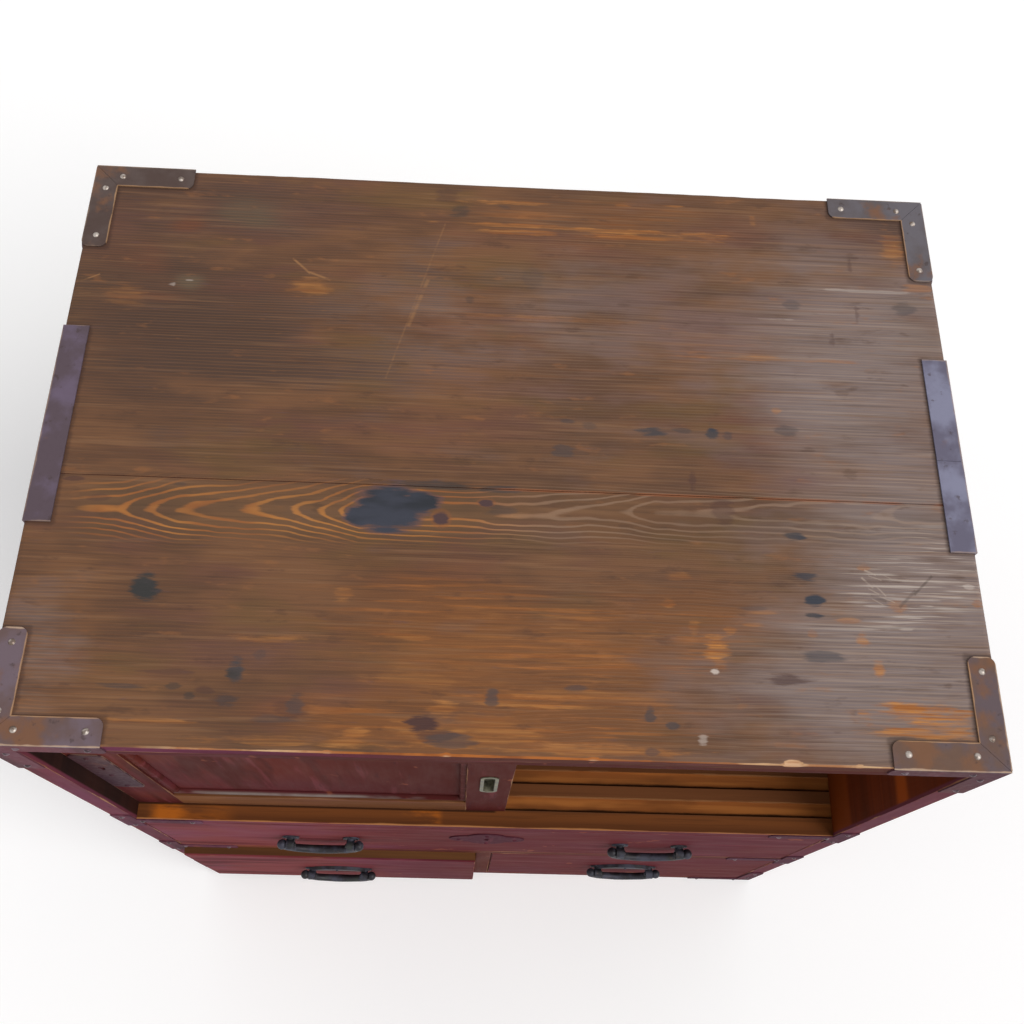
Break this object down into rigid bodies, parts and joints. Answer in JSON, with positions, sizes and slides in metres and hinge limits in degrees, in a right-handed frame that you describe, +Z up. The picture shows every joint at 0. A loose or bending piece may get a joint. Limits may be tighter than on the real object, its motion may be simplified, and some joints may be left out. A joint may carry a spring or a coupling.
{
  "type": "clothing chest",
  "caption": "Wooden clothing chest with iron corner plates, sliding doors over an open bay, and drawers with swinging iron bail handles.",
  "frame": {"origin": "centre of the carcase's footprint, on the floor", "axes": "+X to the right seen from the front, +Y from the front to the back, +Z up"},
  "size_m": [0.7332, 0.5098, 0.7506],
  "materials": {
    "lacquered_wood": "worn red-brown lacquer, satin",
    "top_wood": "weathered oiled softwood, open grain, satin",
    "raw_wood": "unfinished orange-brown softwood, matt",
    "plate_iron": "thin forged plate, brown patina, satin",
    "black_iron": "blackened forged iron, satin",
    "nail_metal": "hand-rubbed domed nail heads",
    "pull_metal": "dull grey-green patina"
  },
  "bodies": {
    "carcase": {"side_panel_left": "lacquered_wood", "side_panel_right": "lacquered_wood", "top_board_front": "top_wood", "top_board_rear": "top_wood", "bottom_board": "raw_wood", "back_boards": "raw_wood", "door_sill": "raw_wood", "bay_floor_board": "raw_wood", "door_head_rail": "lacquered_wood", "drawer_rail": "lacquered_wood", "dust_board": "raw_wood", "divider_post": "lacquered_wood", "divider_board": "raw_wood", "corner_irons_front": "plate_iron", "corner_irons_back": "plate_iron", "edge_plates": "plate_iron", "front_irons": "plate_iron", "top_nails": "nail_metal", "face_nails": "nail_metal", "carry_posts": "black_iron"},
    "front_door": {"front_door_left_stile": "lacquered_wood", "front_door_right_stile": "lacquered_wood", "front_door_top_rail": "lacquered_wood", "front_door_bottom_rail": "lacquered_wood", "front_door_panel": "lacquered_wood", "front_door_bead": "lacquered_wood", "front_door_lock_plate": "plate_iron", "front_door_pull": "pull_metal"},
    "rear_door": {"rear_door_left_stile": "lacquered_wood", "rear_door_right_stile": "lacquered_wood", "rear_door_top_rail": "lacquered_wood", "rear_door_bottom_rail": "lacquered_wood", "rear_door_panel": "lacquered_wood", "rear_door_bead": "lacquered_wood", "rear_door_pull": "pull_metal"},
    "upper_drawer": {"upper_drawer_front": "lacquered_wood", "upper_drawer_side_left": "raw_wood", "upper_drawer_side_right": "raw_wood", "upper_drawer_back": "raw_wood", "upper_drawer_bottom": "raw_wood", "upper_drawer_lock_plate": "plate_iron", "upper_drawer_lock_case": "plate_iron", "upper_drawer_posts": "black_iron"},
    "lower_left_drawer": {"lower_left_front": "lacquered_wood", "lower_left_sides": "raw_wood", "lower_left_back": "raw_wood", "lower_left_bottom": "raw_wood", "lower_left_posts": "black_iron"},
    "lower_right_drawer": {"lower_right_front": "lacquered_wood", "lower_right_sides": "raw_wood", "lower_right_back": "raw_wood", "lower_right_bottom": "raw_wood", "lower_right_posts": "black_iron"},
    "upper_lock_bolt": {"upper_drawer_lock_bolt": "black_iron"},
    "upper_bail_left": {"upper_bail_left": "black_iron"},
    "upper_bail_right": {"upper_bail_right": "black_iron"},
    "lower_left_bail": {"lower_left_bail": "black_iron"},
    "lower_right_bail": {"lower_right_bail": "black_iron"},
    "carry_bail_left": {"carry_bail_left": "black_iron"},
    "carry_bail_right": {"carry_bail_right": "black_iron"}
  },
  "joints": [
    {"name": "front_door_slide", "type": "slide", "parent": "carcase", "child": "front_door", "axis": [1, 0, 0], "range_m": [0, 0.316]},
    {"name": "rear_door_slide", "type": "slide", "parent": "carcase", "child": "rear_door", "axis": [1, 0, 0], "range_m": [0, 0.316]},
    {"name": "upper_drawer_slide", "type": "slide", "parent": "carcase", "child": "upper_drawer", "axis": [0, -1, 0], "range_m": [0, 0.35]},
    {"name": "lower_left_drawer_slide", "type": "slide", "parent": "carcase", "child": "lower_left_drawer", "axis": [0, -1, 0], "range_m": [-0.01, 0.34]},
    {"name": "lower_right_drawer_slide", "type": "slide", "parent": "carcase", "child": "lower_right_drawer", "axis": [0, -1, 0], "range_m": [0, 0.35]},
    {"name": "upper_lock_bolt_slide", "type": "slide", "parent": "upper_drawer", "child": "upper_lock_bolt", "axis": [0, 0, 1], "range_m": [0, 0.007]},
    {"name": "upper_bail_left_hinge", "type": "hinge", "parent": "upper_drawer", "child": "upper_bail_left", "pos_m": [-0.17, -0.2505, 0.31205], "axis": [-1, 0, 0], "range_deg": [-4, 160]},
    {"name": "upper_bail_right_hinge", "type": "hinge", "parent": "upper_drawer", "child": "upper_bail_right", "pos_m": [0.17, -0.2505, 0.31205], "axis": [-1, 0, 0], "range_deg": [-4, 160]},
    {"name": "lower_left_bail_hinge", "type": "hinge", "parent": "lower_left_drawer", "child": "lower_left_bail", "pos_m": [-0.17, -0.2605, 0.11255], "axis": [-1, 0, 0], "range_deg": [-4, 160]},
    {"name": "lower_right_bail_hinge", "type": "hinge", "parent": "lower_right_drawer", "child": "lower_right_bail", "pos_m": [0.17, -0.2505, 0.11255], "axis": [-1, 0, 0], "range_deg": [-4, 160]},
    {"name": "carry_bail_left_hinge", "type": "hinge", "parent": "carcase", "child": "carry_bail_left", "pos_m": [-0.361, 0, 0.56], "axis": [0, 1, 0], "range_deg": [-6, 160]},
    {"name": "carry_bail_right_hinge", "type": "hinge", "parent": "carcase", "child": "carry_bail_right", "pos_m": [0.361, 0, 0.56], "axis": [0, -1, 0], "range_deg": [-6, 160]}
  ]
}
